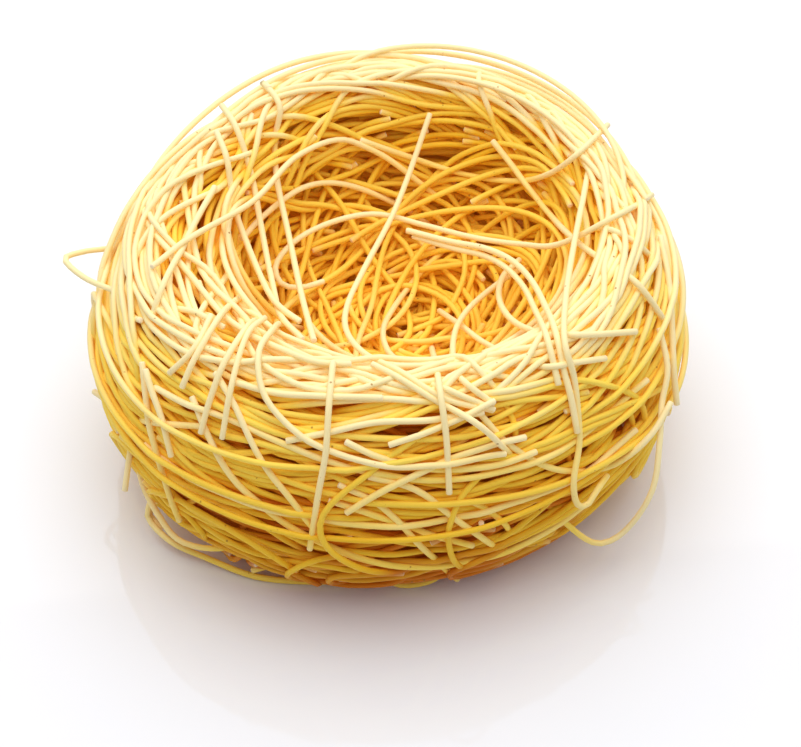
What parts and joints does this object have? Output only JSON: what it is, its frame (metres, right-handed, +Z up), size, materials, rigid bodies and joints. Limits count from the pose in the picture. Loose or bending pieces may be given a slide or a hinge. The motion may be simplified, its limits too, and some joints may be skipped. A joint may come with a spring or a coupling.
{
  "type": "nest of angel hair pasta",
  "caption": "Dry nest of fine round pasta strands wound into a thick-walled bowl, with an open hollow, a flat foot, and loops and cut ends that stand off it.",
  "frame": {"origin": "middle of the flat foot, on the surface that the nest stands on", "axes": "+Z up out of the hollow, +X to the right and -Y to the front as the nest is usually seen"},
  "size_m": [0.0665, 0.0613, 0.0313],
  "materials": {
    "pasta": "dried durum wheat pasta, pale straw yellow, smooth and slightly see-through"
  },
  "bodies": {
    "root": {"pasta_nest": "pasta"}
  },
  "joints": []
}
